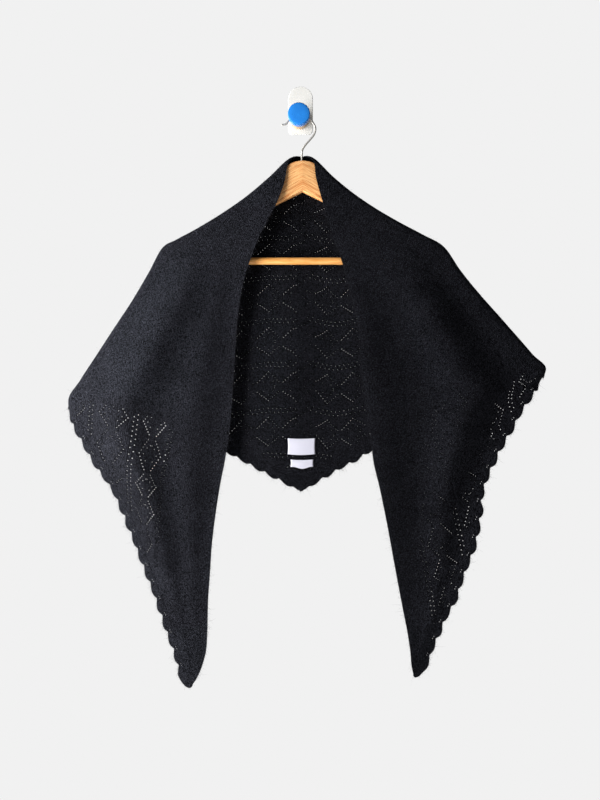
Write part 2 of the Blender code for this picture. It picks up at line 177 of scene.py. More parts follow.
ground = {"radius": 2.05, "height": -1.75, "paint": "#E9E8E6"}    # metres
build = bmesh.new()
bmesh.ops.create_circle(build, cap_ends=True, segments=96, radius=ground["radius"])
bmesh.ops.translate(build, verts=build.verts, vec=(0, 0, ground["height"]))
floorData = bpy.data.meshes.new("floor")
build.to_mesh(floorData)
build.free()
floor = bpy.data.objects.new("floor", floorData)
scene.collection.objects.link(floor)
floorPaint, _ = newMaterial("pale matt floor paint", {"Base Color": linear(ground["paint"]), "Roughness": 0.8})
floorData.materials.append(floorPaint)
print("camera, light and floor")

# Materials of the shawl
knit = {
    "stitch": 4.12,          # width of one stitch, mm
    "row": 2.8625,           # height of one row, mm
    "wall": 1.2,
    "shadow": "#030304",     # between the strands
    "yarn": "#1B1C20",       # brushed mohair and silk, dyed black
    "loose": "#44454E",      # single fibres that catch the light
    "inside": 0.66,          # painted shade: how pale the wrong side is painted against the right side
}


def mohairKnit(name, tone):
    # Brushed mohair: matt, no gloss, painted shade near black between the strands, painted highlights on single
    # fibres that catch the light
    material, shader = newMaterial(name, {
        "Roughness": 0.95, "Specular IOR Level": 0.02, "Sheen Weight": 0.03, "Sheen Roughness": 0.4,
        "Sheen Tint": linear("#C9CBDD")})
    stitches = addNode(shader, "ShaderNodeUVMap", uv_map="stitches")
    split = addNode(shader, "ShaderNodeSeparateXYZ", {0: stitches.outputs[0]})
    # Each stitch is a V: its two legs rise from the middle
    leg = calculate("PINGPONG", split.outputs[0], 0.5)
    slant = calculate("MULTIPLY_ADD", leg, 1.2, split.outputs[1])
    loop = calculate("SINE", calculate("MULTIPLY", slant, 2 * math.pi))
    strand = calculate("SINE", calculate("MULTIPLY", leg, 2 * math.pi))
    relief = calculate("MULTIPLY", loop, strand)
    # Brushed nap in tufts of about 2.5 mm with painted shade between them, single fibres about 1 mm apart as
    # painted highlights, worn patches of about 45 mm
    place = objectPlace(shader)
    nap = noise(place, 400.0, Detail=3.0, Roughness=0.65)
    hair = noise(place, 1000.0, Distortion=1.6)
    patch = noise(place, 22.0)
    bare = blend(mapRange(nap, 0.44, 0.60), knit["shadow"], knit["yarn"])
    lit = blend(mapRange(hair, 0.54, 0.70), bare, knit["loose"])
    worn = mapRange(patch, 0.3, 0.7, 0.82 * tone, 1.12 * tone)
    # Painted shade round each eyelet, for the dark inside seen through it
    hole = addNode(shader, "ShaderNodeAttribute", attribute_name="opening")
    shade = calculate("MULTIPLY_ADD", hole.outputs["Fac"], -0.7 * tone, worn)
    height = calculate("MULTIPLY_ADD", relief, 0.5, nap)
    connect(shader, {"Base Color": scaleColour(lit, shade),
                     "Normal": bumpFrom(height, 0.7, 0.0012)})
    return material


def mohairFibre():
    # Single mohair hairs: a little paler than the cloth, since light runs along them
    material, shader = newMaterial("loose mohair fibre", {"Roughness": 0.7, "Specular IOR Level": 0.15})
    shade = noise(objectPlace(shader), 90.0)
    connect(shader, {"Base Color": blend(shade, "#101014", "#2F2F36")})
    return material


clothMaterial = mohairKnit("brushed mohair lace knit", 1.0)
# The wrong side is the same knit painted darker: painted shade for the shade on the back and on the inner faces
shadedInsideMaterial = mohairKnit("wrong side of the knit, painted darker as shade", knit["inside"])
fibreMaterial = mohairFibre()

# The shawl's hanging form
# One row for each column of knitting: front edge x z, crown over the arm x z, hem x z, radius of the turn
leftSections = [
    (-18, -88, -19.5, -85, -22, -592, 4.0), (-26, -123, -50.5, -114, -54, -576, 6.5),
    (-38, -156, -86, -144, -88, -558, 6.5), (-55, -188, -123, -170, -124, -539, 6.5),
    (-69, -217, -163, -194.5, -163, -519, 6.5), (-80, -247, -198, -213.5, -198, -502, 6.5),
    (-90, -276, -221, -227, -224, -491, 7.5), (-97, -313, -242, -265, -249, -482, 10.0),
    (-102, -356, -269, -311, -274, -475, 12.0), (-105, -401, -298, -355, -301, -468, 12.0),
    (-108, -446, -326, -398, -328, -463, 10.0), (-111, -488, -352, -438, -352, -463, 8.0),
    (-115, -527, -371, -472, -371.3, -474, 5.0),
]
rightSections = [
    (20, -88, 22, -84, 25, -590, 4.0), (25, -117, 52, -113, 54, -573, 6.5),
    (35, -154, 85, -140, 87, -555, 6.5), (44, -186, 122, -165, 123, -530, 6.5),
    (55, -219, 160, -187, 160, -504, 6.5), (66, -251, 196, -206, 196, -482, 6.5),
    (75, -284, 229, -225, 228, -462, 7.5), (84, -318, 255, -262, 256, -446, 10.0),
    (92, -355, 284, -298, 285, -432, 12.0), (94, -395, 315, -333, 315, -421, 12.0),
    (98, -438, 345, -367, 346, -414, 10.0), (104, -483, 371, -397, 371, -414, 8.0),
    (110, -527, 392, -422, 392.3, -424, 5.0),
]
# Below the outer corners the fronts hang free: front edge x z, scalloped side x z
leftHanging = [
    (-121, -568, -350, -512), (-128, -603, -322, -563), (-135, -648, -297, -600), (-141, -697, -274, -646),
    (-144, -743, -254, -698), (-147, -788, -237, -743), (-148, -832, -219, -790), (-150, -867, -204, -836),
    (-157, -894, -189, -882), (-165, -912, -185, -908), (-171, -921, -184, -919),
]
rightHanging = [
    (115, -568, 360, -456), (124, -606, 329, -508), (133, -648, 304, -553), (141, -689, 282, -606),
    (148, -727, 276, -655), (155, -764, 267, -701), (162, -800, 251, -744), (169, -835, 236, -787),
    (174, -867, 215, -829), (176, -889, 199, -873), (179, -904, 193, -899),
]
drape = {
    "hangerY": -35.0, "halfHollow": 8.0,         # middle of the hanger, and how far each sheet stands from it
    "freeRoll": 12.0, "neckRoll": 4.0,           # radius of the turn below the outer corners and at the neck
    "neckTop": (2, -80), "neckHem": (1, -604),   # x z at the middle
    "frontLean": 8.0, "backLean": 7.0,           # further out at the front edge and at the hem
    # Rows of the tables between which the fronts' folds grow, and fade towards the tips
    "foldStart": 4.0, "foldFull": 10.5, "fadeRow": 13.0, "fadedRow": 20.0, "tipFading": 0.9,
    "corner": 12, "tip": 23,                     # rows of the outer corners and of the tips
    "step": 0.7,                                 # between two points of a column's path
}
# Folds of the fronts: place at the top, at the corner and at the tip from 0 at the front edge to 1,
# height towards the viewer, half width on the front edge's side and on the other
frontFolds = {
    -1: [(0.00, 0.00, 0.00, -12.0, 0.22, 0.22), (0.28, 0.24, 0.32, 5.0, 0.13, 0.13),
         (0.50, 0.68, 0.74, 25.0, 0.19, 0.26)],
    1: [(0.00, 0.00, 0.00, 20.0, 0.24, 0.24), (0.54, 0.58, 0.62, 16.0, 0.20, 0.18),
        (0.80, 0.80, 0.85, -4.0, 0.10, 0.10)],
}
# Folds of the back: x at the top and at the hem, height towards the wall, half width
backFolds = [
    (-225, -300, 7.0, 30.0), (-190, -215, -5.0, 30.0), (-110, -130, 5.0, 38.0), (-30, -45, -4.0, 40.0),
    (45, 60, 4.0, 42.0), (125, 140, -4.0, 36.0), (200, 225, 6.0, 32.0), (235, 300, -4.0, 28.0),
]


def splineAt(rows, places):  # Catmull-Rom curve through table rows
    rows = np.asarray(rows, float)
    places = np.atleast_1d(np.asarray(places, float))
    index = np.clip(places.astype(int), 0, len(rows) - 2)
    share = (places - index)[:, None]
    p, q, r, s = (rows[np.clip(index + k, 0, len(rows) - 1)] for k in (-1, 0, 1, 2))
    return 0.5 * (2 * q + (r - p) * share + (2 * p - 5 * q + 4 * r - s) * share**2
                  + (3 * q - p - 3 * r + s) * share**3)


def smoothStep(low, high, value):
    share = np.clip((value - low) / (high - low), 0.0, 1.0)
    return share * share * (3 - 2 * share)


def quarterTurn(share):  # a little squarer than a quarter of a circle
    return (1 - (1 - np.clip(share, 0.0, 1.0)) ** 2.5) ** 0.4


def bell(distance, halfWidth):
    return np.exp(-((distance / halfWidth) ** 2))


def mix(a, b, share):
    return a + (b - a) * share


def unit(values):
    return values / np.maximum(np.linalg.norm(values, axis=-1, keepdims=True), 1e-9)


def runLengths(points):  # distance of each point along the line that they make
    return np.concatenate(([0.0], np.cumsum(np.linalg.norm(np.diff(points, axis=0), axis=1))))


tipRow, cornerRow = drape["tip"], drape["corner"]
middleRow = (*drape["neckTop"], *drape["neckTop"], drape["neckRoll"])
leftSpan, rightSpan = ([(*row[:4], row[6]) for row in sections] + [(*row, drape["freeRoll"]) for row in hanging]
                       for sections, hanging in ((leftSections, leftHanging), (rightSections, rightHanging)))
# Row 0 is the left tip, 24 the neck and 48 the right tip; the hem's rows run between the outer corners
spanRows = leftSpan[::-1] + [middleRow] + rightSpan
hemRows = ([(row[4], row[5], 0.0) for row in leftSections[::-1]] + [(*drape["neckHem"], drape["halfHollow"])]
           + [(row[4], row[5], 0.0) for row in rightSections])


def columnPath(place):  # middle line of one column of stitches, front edge to hem; place is 0 at the neck
    innerX, innerZ, outerX, outerZ, roll = splineAt(spanRows, place + tipRow + 1)[0]
    side = -1 if place < 0 else 1
    row = abs(place) - 1
    hung = abs(place) <= cornerRow + 1
    hollow = drape["halfHollow"]
    hemX, hemZ, edge = splineAt(hemRows, place + cornerRow + 1)[0] if hung else (0, 0, 0)
    edge = min(max(edge, 0.0), hollow) if abs(place) < 1 else 0.0
    width = math.hypot(innerX - outerX, innerZ - outerZ)
    fromFold = np.linspace(width, 0, max(int(width / drape["step"]), 6))
    across = 1 - fromFold / max(width, 1e-6)
    free = float(smoothStep(cornerRow, cornerRow + 1, row))
    rise = mix(-edge, hollow, free)
    softTurn = np.sin(np.minimum(fromFold / roll, 1.0) * math.pi / 2)
    forward = rise + (hollow - rise) * mix(quarterTurn(fromFold / roll), softTurn, free**0.5)
    forward += drape["frontLean"] * (1 - across) * smoothStep(0, 3, row)
    strength = smoothStep(drape["foldStart"], drape["foldFull"], row)
    strength *= 1 - drape["tipFading"] * smoothStep(drape["fadeRow"], drape["fadedRow"], row)
    held = 1 - smoothStep(cornerRow, cornerRow + 3, row)    # over the arms the folds end before the turn
    for top, corner, tip, height, halfInner, halfOuter in frontFolds[side]:
        if row < cornerRow:
            centre = mix(top, corner, smoothStep(0, cornerRow, row))
        else:
            centre = mix(corner, tip, (row - cornerRow) / (tipRow - cornerRow))
        halfWidth = np.where(across < centre, halfInner, halfOuter)
        forward += height * strength * bell(across - centre, halfWidth) * (1 - held * across**8)
    line = np.column_stack((mix(innerX, outerX, across), drape["hangerY"] - forward,
                            mix(innerZ, outerZ, across)))
    fold = len(line) - 1
    if hung:
        depth = math.hypot(outerX - hemX, outerZ - hemZ)
        fromFold = np.linspace(0, depth, max(int(depth / drape["step"]), 4))
        down = fromFold / depth
        inward = edge + (hollow - edge) * quarterTurn(fromFold / roll)
        inward += drape["backLean"] * down * smoothStep(0, 150, depth)
        x = mix(outerX, hemX, down)
        for top, hem, height, halfWidth in backFolds:    # none near the turn or where the back is short
            bump = height * bell(x - mix(top, hem, down), halfWidth)
            inward += bump * smoothStep(0.08, 0.5, down) * smoothStep(20, 120, depth)
        back = np.column_stack((x, drape["hangerY"] + inward, mix(outerZ, hemZ, down)))
        line = np.vstack((line, back[1:]))
    lengths = runLengths(line)
    return line, lengths, lengths[fold]


# Knitted rows and columns
lace = {
    "repeatStitches": 12, "repeatRows": 24, "phase": 4,
    # Plain knitting: rows from the front edge, and mm beside the edging below the corners and between them
    "plainRows": 22, "margin": (6.0, 14.0),
    # How far the rows have shifted along each column, mm, by distance from the neck
    "shiftAt": (-905, -650, -450, -250, -110, -60, -25, 0, 60, 110, 250, 450, 550, 650, 905),
    "shift": (24, 24, 20, 8, -5.5, -3, 4, 5.5, 5, -5, -6, -28, -32, -21, -19),
    # Extra at each double row on the back, and on the left front at its corner and lower down
    "backExtra": (0, 0, -4.4, -9.6, -9.3, -8.0, -2.7, 0.6, 1, 1, 1),
    "cornerExtra": (0, 0, -11, -3, 0, 0, 0, 0, 0, 0, 0),
    "lowerExtra": (0, -2, -20, -8, 0, 0, 0, 0, 0, 0, 0),
    "stretch": (1.041, 1.037),  # stitch width on the left and right halves against the middle's
    # Half openings, mm, of the diamonds' arms, of the dots beside them and of the double rows:
    "big": 1.0, "small": 0.75, "row": 1.05,                     # stretched open
    "bigHalf": 0.84, "smallHalf": 0.55, "rowHalf": 0.84,
    "bigNapped": 0.52, "smallNapped": 0.27, "rowNapped": 0.39,  # half filled by the nap
    "bigClosed": 0.22, "smallClosed": 0.16, "rowClosed": 0.22,  # pushed shut
}
# Where the fronts' lace is stretched, half open or half filled by the nap; elsewhere it is pushed shut.
# Corners x z of the areas on each side; the first area that holds an eyelet counts
openAreas = {
    -1: [("", [(-420, -455), (-214, -470), (-214, -565), (-225, -590), (-236, -730), (-300, -760), (-420, -760)]),
         ("Napped", [(-240, -470), (-200, -470), (-200, -740), (-240, -740)])],
    1: [("Half", [(272, -600), (300, -700), (262, -750), (222, -800), (205, -860), (196, -840), (214, -720),
                  (232, -660)]),
        ("Napped", [(240, -585), (420, -560), (420, -1000), (60, -1000), (160, -810), (196, -670)]),
        ("Half", [(300, -452), (338, -452), (342, -432), (420, -425), (420, -560), (300, -530)])],
}
# One repeat: stitch, row
charts = {
    "big": {(6 - k, row) for k in range(6) for row in (5 + k, 20 - k)},
    "small": {(7 + k, row) for k in range(5) for row in (6 + k, 19 - k)}
             | {(6, 8), (6, 17), (4, 10), (4, 15), (8, 10), (8, 15), (9, 12), (9, 13)},
    "row": {(c, 0) for c in range(0, 12, 2)} | {(c, 2) for c in range(1, 12, 2)},
}


def measureColumns():  # places of the stitch columns, evenly spaced along the cloth from the neck
    samples = 24    # between two rows of the tables
    places = np.linspace(-tipRow - 1, tipRow + 1, 2 * (tipRow + 1) * samples + 1)
    rows = splineAt(spanRows, places + tipRow + 1)
    inner = np.hypot(*np.diff(rows[:, 0:2], axis=0).T)
    outer = np.hypot(*np.diff(rows[:, 2:4], axis=0).T)
    middles = (places[1:] + places[:-1]) / 2
    share = 0.5 * (np.abs(middles) < cornerRow + 1)
    along = np.concatenate(([0.0], np.cumsum(mix(inner, outer, share))))
    along -= np.interp(0.0, places, along)
    print("shawl's long edge:", round(along[0]), "to", round(along[-1]), "mm")
    count = np.where(along < 0, along / lace["stretch"][0], along / lace["stretch"][1]) / knit["stitch"]
    numbers = np.arange(math.ceil(count[0] + 0.5) - 1, math.floor(count[-1] - 0.5) + 2)
    found = np.interp(numbers, count, places)
    found[0], found[-1] = places[0], places[-1]
    return numbers, found, np.interp(found, places, along)


stitchNumbers, columnPlaces, columnAlong = measureColumns()
rowNumbers = np.arange(-14, 201)    # more than any column has
clear = 0.45 * knit["row"]          # no row comes nearer than this to an edge
grid = np.full((len(stitchNumbers), len(rowNumbers), 3), np.nan)
columns = []
for index, (along, place) in enumerate(zip(columnAlong, columnPlaces)):
    line, lengths, foldLength = columnPath(place)
    heights = rowNumbers * knit["row"] + np.interp(along, lace["shiftAt"], lace["shift"])
    repeats = rowNumbers / lace["repeatRows"]
    onBack, atCorner, lower = (np.interp(repeats, range(11), lace[table])
                               for table in ("backExtra", "cornerExtra", "lowerExtra"))
    heights = heights + onBack * (1 - smoothStep(120, 260, abs(along)))
    onFront = mix(atCorner, lower, smoothStep(540, 700, -along))
    heights = heights + smoothStep(400, 520, -along) * onFront
    total = lengths[-1]
    inside = np.nonzero((heights > clear) & (heights < total - clear))[0]
    if len(inside):
        start, end = inside[0] - 1, inside[-1] + 1
    else:
        start = int(np.argmin(np.abs(heights - total / 2)))
        end = start + 1
    heights[start], heights[end] = 0.0, total
    used = slice(start, end + 1)
    for axis in range(3):
        grid[index, used, axis] = np.interp(heights[used], lengths, line[:, axis])
    columns.append({"start": start, "end": end, "heights": heights, "fold": foldLength, "total": total})


def gridNormals(points):
    with np.errstate(invalid="ignore"):
        def slope(axis):
            ahead = np.roll(points, -1, axis) - points
            behind = points - np.roll(points, 1, axis)
            return np.where(np.isnan(ahead), behind, np.where(np.isnan(behind), ahead, (ahead + behind) / 2))
        return np.nan_to_num(unit(np.cross(slope(0), slope(1))))


normals = gridNormals(grid)
print("knitted rows and columns:", len(columns), "columns")

# The cloth is built in three stretches that meet a little behind the fold over the arms
tuck = 12.0
neckColumns = np.nonzero(np.abs(columnPlaces) < 1)[0]
leftJoin, rightJoin = neckColumns[0] - 1, neckColumns[-1] + 1
for index, column in enumerate(columns):
    split = np.searchsorted(column["heights"][column["start"]:column["end"] + 1], column["fold"] + tuck)
    column["split"] = int(min(column["start"] + split, column["end"]))

hemStart = int(np.nonzero(columnPlaces >= -cornerRow - 1)[0][0])
hemEnd = int(np.nonzero(columnPlaces <= cornerRow + 1)[0][-1])
frontStrips = {-1: [], 1: []}
backStrips = []
for index in range(len(columns) - 1):
    here, ahead = columns[index], columns[index + 1]
    if index < leftJoin or index >= rightJoin:
        side = -1 if index < leftJoin else 1
        frontStrips[side].append((index, (here["start"], here["split"]), (ahead["start"], ahead["split"])))
        if here["split"] < here["end"] or ahead["split"] < ahead["end"]:
            backStrips.append((index, (here["split"], here["end"]), (ahead["split"], ahead["end"])))
    else:
        backStrips.append((index, (here["start"], here["end"]), (ahead["start"], ahead["end"])))


def eyeletKind(index, row):
    column = columns[index]
    number = int(rowNumbers[row])
    hung = abs(columnPlaces[index]) < cornerRow + 1
    if number < lace["plainRows"] or column["total"] - column["heights"][row] < lace["margin"][hung]:
        return None
    repeatStitch = int(stitchNumbers[index] - lace["phase"]) % lace["repeatStitches"]
    spot = (repeatStitch, number % lace["repeatRows"])
    return next((kind for kind, chart in charts.items() if spot in chart), None)


def howOpen(x, z, side):
    for state, corners in openAreas[side]:
        inside = False
        for (ax, az), (bx, bz) in zip(corners, corners[1:] + corners[:1]):
            if (az > z) != (bz > z) and x < ax + (z - az) * (bx - ax) / (bz - az):
                inside = not inside
        if inside:
            return state
    return "Closed"


def cutEyelets(build, vertices, halfWidth):  # halfWidth: from the middle to a corner, mm
    opened = bmesh.ops.bevel(build, geom=vertices, offset=halfWidth / 1000, offset_type="OFFSET",
                             segments=1, profile=0.5, affect="VERTICES", material=-1)
    bmesh.ops.delete(build, geom=opened["faces"], context="FACES_ONLY")


def knitPiece(name, strips, replaced, side):  # side is 0 on the back
    build = bmesh.new()
    uvLayer = build.loops.layers.uv.new("stitches")
    eyeletShadeLayer = build.verts.layers.float.new("opening")
    made = {}

    def corner(index, row):
        if (index, row) not in made:
            made[index, row] = build.verts.new(grid[index, row] / 1000)
        return made[index, row]

    for index, (hereLow, hereHigh), (aheadLow, aheadHigh) in strips:
        low, high = max(hereLow, aheadLow), min(hereHigh, aheadHigh)
        cells = [((index, r), (index + 1, r), (index + 1, r + 1), (index, r + 1)) for r in range(low, high)]
        # Triangles where the cloth's slanted edge cuts across the rows
        for tip, here, ahead in ((low, range(hereLow, low), range(aheadLow, low)),
                                 (high, range(high, hereHigh), range(high, aheadHigh))):
            cells += [((index, r), (index + 1, tip), (index, r + 1)) for r in here]
            cells += [((index, tip), (index + 1, r), (index + 1, r + 1)) for r in ahead]
        for cell in cells:
            spots = [spot for spot in cell if not np.isnan(grid[spot][0])]
            if len(spots) < 3:
                continue
            face = build.faces.new([corner(*spot) for spot in spots])
            face.smooth = True
            for loop, (i, r) in zip(face.loops, spots):
                loop[uvLayer].uv = (stitchNumbers[i], rowNumbers[r])
    for edge in build.edges:
        edge.smooth = not edge.is_boundary
    chosen = {}
    for (index, row), vertex in made.items():
        kind = eyeletKind(index, row)
        if kind and not vertex.is_boundary:
            kind += howOpen(vertex.co.x * 1000, vertex.co.z * 1000, side) if side else "Napped"
            # How much painted shade goes round this eyelet: none where it is pushed shut
            vertex[eyeletShadeLayer] = 0.0 if "Closed" in kind else 0.6 if "small" in kind else 1.0
            chosen.setdefault(kind, []).append(vertex)
    for kind, vertices in sorted(chosen.items()):
        cutEyelets(build, vertices, lace[kind])
    piece = addPiece(name, build, [clothMaterial, shadedInsideMaterial], replaced)
    addWall(piece, "knit wall", knit["wall"])
    return piece


frontLeft = knitPiece("frontLeftKnit", frontStrips[-1], ["shawl_front_left"], -1)
frontRight = knitPiece("frontRightKnit", frontStrips[1], ["shawl_front_right"], 1)
backKnit = knitPiece("backKnit", backStrips, ["shawl_back"], 0)
print("knitted cloth")

# Scalloped edging
edging = {
    "pitch": 28.7, "backPitch": 25.0, "stations": 16,        # length of one scallop, and lines across it
    "width": 8.6, "depth": 5.6, "backDepth": 0.8,            # at the valleys, more at the crests, the back's share
    "depthRange": (0.8, 1.15), "droop": 1.45, "fullness": 0.75, "curl": 1.3,    # shape of a scallop
    "cornerWidth": 9.0, "cornerTaper": 10.0, "tipWidth": 9.0, "tipRound": 9.0, "taper": 24.0,
    "thickness": 1.7, "overlap": 2.5, "eyelet": 0.6,
    "softened": 0.4,                           # what the soft rim takes off
    "across": (0.0, 0.27, 0.52, 0.78, 1.0),    # points across it, from the knitting to the rim
}


def edgingPiece(name, order, replaced, endsAtTip, seed):  # order lists its columns from the outer corner
    chance = np.random.default_rng(seed)
    border = np.array([grid[i, columns[i]["end"]] for i in order])
    inside = np.array([grid[i, max(columns[i]["end"] - 2, columns[i]["start"])] for i in order])
    surface = np.array([normals[i, columns[i]["end"]] for i in order])
    run = unit(np.gradient(border, axis=0))
    outward = unit(border - inside)
    outward -= run * np.sum(outward * run, axis=1, keepdims=True)
    for _ in range(4):
        outward[1:-1] = (outward[:-2] + 2 * outward[1:-1] + outward[2:]) / 4
    if endsAtTip:
        # Round the blunt tip
        turns = np.radians([0, 15, 30, 45, 60, 75, 90])
        ahead = run[-1]
        cap = [outward[-1] * math.cos(turn) + ahead * math.sin(turn) for turn in turns]
        corner = grid[order[-1], columns[order[-1]]["start"]]
        steps = np.linspace(0, 1, len(turns))[:, None]
        outward = np.vstack((outward[:-1], cap))
        border = np.vstack((border[:-1], mix(border[-1], corner + ahead * 0.5, steps)))
        surface = np.vstack((surface[:-1], [surface[-1]] * len(turns)))
    else:
        # The two back edgings meet at the point, and run 2.5 mm into each other
        outward[-1] = (0, 0, -1)
        outward[-2] = outward[-2] + (0, 0, -0.5)
        border = np.vstack((border, [border[-1] + run[-1] * 2.5]))
        outward = np.vstack((outward, [outward[-1]]))
        surface = np.vstack((surface, [surface[-1]]))
    outward = unit(outward)
    lengths = runLengths(border)
    total = lengths[-1]
    scallops = round(total / edging["pitch" if endsAtTip else "backPitch"])
    count = scallops * edging["stations"]
    lift = chance.uniform(-1, 1, scallops + 2)
    deep = chance.uniform(*edging["depthRange"], scallops + 2) * (1 if endsAtTip else edging["backDepth"])
    build = bmesh.new()
    uvLayer = build.loops.layers.uv.new("stitches")
    lines, rims, eyelets = [], [], []
    for station in range(count + 1):
        along = total * station / count
        root, out, face = (np.array([np.interp(along, lengths, values[:, k]) for k in range(3)])
                           for values in (border, outward, surface))
        turn = station / edging["stations"] + 0.5       # whole numbers are the valleys
        bulge = abs(math.sin(math.pi * (turn % 1.0) ** edging["droop"])) ** edging["fullness"]
        reach = edging["width"] + edging["depth"] * deep[int(turn)] * bulge
        reach = mix(edging["cornerWidth"], reach, min(along / edging["cornerTaper"], 1))
        if endsAtTip:
            reach = mix(edging["tipWidth"], reach, min((total - along) / edging["taper"], 1))
            reach *= math.sqrt(1 - (1 - min((total - along) / edging["tipRound"], 1)) ** 2)
        curl = edging["curl"] * np.interp(turn, range(len(lift)), lift) * bulge
        line = []
        for share in edging["across"]:
            away = mix(-edging["overlap"], reach + edging["softened"], share)
            point = root + out * away + face * (curl * share**2)
            line.append((build.verts.new(point / 1000), (along / knit["stitch"], -away / knit["row"])))
        lines.append(line)
        rims.append((point, out, face))
        # A pair of eyelets inside each valley of the free edges
        besideValley = abs(station % edging["stations"] - edging["stations"] // 2) == 1
        if endsAtTip and besideValley and edging["cornerTaper"] < along < total - edging["taper"]:
            eyelets.append(line[2][0])
    for here, ahead in zip(lines, lines[1:]):
        for corners in zip(here, ahead, ahead[1:], here[1:]):
            made = build.faces.new([vertex for vertex, _ in corners])
            made.smooth = True
            for loop, (_, uv) in zip(made.loops, corners):
                loop[uvLayer].uv = uv
    cutEyelets(build, eyelets, edging["eyelet"])
    flipped = np.dot(np.cross(border[1] - border[0], outward[0]), surface[0]) < 0
    # The edging's wrong side also gets the darker knit with painted shade
    sides = [shadedInsideMaterial, clothMaterial] if flipped else [clothMaterial, shadedInsideMaterial]
    piece = addPiece(name, build, sides, replaced)
    addWall(piece, "edging wall", edging["thickness"])
    soft = piece.modifiers.new("soft rim", "SUBSURF")
    soft.levels = soft.render_levels = 1
    return piece, rims


edgingFrontLeft, rimFrontLeft = edgingPiece(
    "edgingFrontLeft", range(hemStart, -1, -1), ["edging_front_left"], True, 11)
edgingFrontRight, rimFrontRight = edgingPiece(
    "edgingFrontRight", range(hemEnd, len(columns)), ["edging_front_right"], True, 12)
neckIndex = int(np.argmin(np.abs(columnPlaces)))
edgingBackLeft, rimBackLeft = edgingPiece(
    "edgingBackLeft", range(hemStart, neckIndex + 1), ["edging_back_left"], False, 13)
edgingBackRight, rimBackRight = edgingPiece(
    "edgingBackRight", range(hemEnd, neckIndex - 1, -1), ["edging_back_right"], False, 14)
print("scalloped edging")

# Labels sewn to the inside of the back
label = {
    "lift": 1.3, "thickness": 0.5,              # in front of the cloth, and of the tape
    "bow": 1.4, "waist": 1.2, "belly": 0.5,     # sag of the edges, sides drawn in, middle standing out
    "rayStart": -0.2, "sheetY": -0.026,         # in front of the shawl, and on the back sheet, metres
}


def wovenTape():
    # Satin-woven polyester tape: pale, a soft sheen; threads about 0.25 mm apart, drawn 1 mm apart
    material, shader = newMaterial(
        "satin woven label tape", {"Roughness": 0.6, "Sheen Weight": 0.3, "Specular IOR Level": 0.4})
    place = objectPlace(shader)
    warp, weft = (addNode(shader, "ShaderNodeTexWave", {"Vector": place, "Scale": 320.0, "Distortion": 0.4},
                          bands_direction=direction).outputs["Fac"] for direction in ("X", "Z"))
    weave = calculate("MULTIPLY", warp, weft)
    connect(shader, {"Base Color": blend(weave, "#CCCBD9", "#E0DFEC"),
                     "Normal": bumpFrom(weave, 0.4, 0.0003)})
    return material


tapeMaterial = wovenTape()
backSurface = BVHTree.FromObject(backKnit, bpy.context.evaluated_depsgraph_get())


def labelPiece(name, node, left, right, top, bottom, wave, creases):  # a crease: place, height, half width
    build = bmesh.new()
    bmesh.ops.create_grid(build, x_segments=22, y_segments=14, size=0.5)
    for vertex in build.verts:
        across, down = vertex.co.x + 0.5, 0.5 - vertex.co.y
        x = mix(left, right, across) - label["waist"] * (across - 0.5) * math.sin(math.pi * down)
        z = mix(top, bottom, down) - label["bow"] * math.sin(math.pi * across) * (0.6 + 0.4 * down)
        z -= wave * down * math.sin(2.6 * math.pi * across + 3.6)
        hit = backSurface.ray_cast((x / 1000, label["rayStart"], z / 1000), (0, 1, 0))[0]
        if hit is None:  # the ray went through a hole
            hit = backSurface.find_nearest((x / 1000, label["sheetY"], z / 1000))[0]
        stand = label["lift"] + label["belly"] * math.sin(math.pi * across) * math.sin(math.pi * down)
        for place, height, halfWidth in creases:
            stand += height * bell(down - place, halfWidth)
        vertex.co = (x / 1000, hit.y - stand / 1000, z / 1000)
    for face in build.faces:
        face.smooth = True
    bmesh.ops.recalc_face_normals(build, faces=build.faces)
    piece = addPiece(name, build, [tapeMaterial], [node])
    addWall(piece, "tape", label["thickness"])
    return piece


labelTop = labelPiece("labelTop", "label_top", -20.5, 23.5, -531.4, -557.0, 0.0, [])
labelCare = labelPiece("labelCare", "label_care", -16.0, 20.5, -565.6, -578.0, 1.1,
                       [(0.35, 0.5, 0.12), (0.75, -0.3, 0.1)])
print("labels")

# Loose fibres: a halo along every edge, and single hairs over both faces of the cloth
fuzz = {
    "rim": 8.0, "edge": 14,      # fibres at each station of the rims and at each column's front edge
    "face": 9000,                # fibres on each face of each stretch of cloth
    "short": (1.6, 5.0), "long": (6.0, 13.0), "longShare": 0.07, "width": 0.15,
    # At the edges: splay along and across the cloth, depth and offset of the roots, curl and sag
    "splay": (0.7, 0.45), "roots": (0.5, 2.5), "rootOffset": 0.6, "edgeCurl": 0.35, "sag": 0.12,
    # On the faces: how far they rise, their start in wall thicknesses, curl and how much they lie down
    "rise": (0.05, 0.45), "start": 0.4, "faceCurl": 0.4, "lie": 0.15,
}


def fibrePiece(name, points, ways, bends, lengths):
    # Each fibre is a bent blade of seven points, drawn three times its real width so that it shows
    chance = np.random.default_rng(len(points))
    aside = unit(np.cross(ways, chance.normal(size=ways.shape))) * fuzz["width"]
    corners = []
    for share, breadth in ((0.0, 0.5), (0.35, 0.45), (0.7, 0.32)):
        middle = points + (ways * share + bends * share**2) * lengths[:, None]
        corners += [middle - aside * breadth, middle + aside * breadth]
    corners.append(points + (ways + bends) * lengths[:, None])
    vertices = np.stack(corners, axis=1).reshape(-1, 3) / 1000
    vertices[:, 1] = np.minimum(vertices[:, 1], -0.0005)    # the wall is at 0
    starts = (np.arange(len(points)) * len(corners)).tolist()
    faces = [[s + k for k in blade] for s in starts for blade in ((0, 1, 3, 2), (2, 3, 5, 4), (4, 5, 6))]
    data = bpy.data.meshes.new(name)
    data.from_pydata(vertices.tolist(), [], faces)
    data.polygons.foreach_set("use_smooth", np.ones(len(faces), bool))
    return placePiece(name, data, [fibreMaterial])


def fibreLengths(chance, count):
    lengths = chance.uniform(*fuzz["short"], count)
    longer = chance.random(count) < fuzz["longShare"]
    lengths[longer] = chance.uniform(*fuzz["long"], longer.sum())
    return lengths


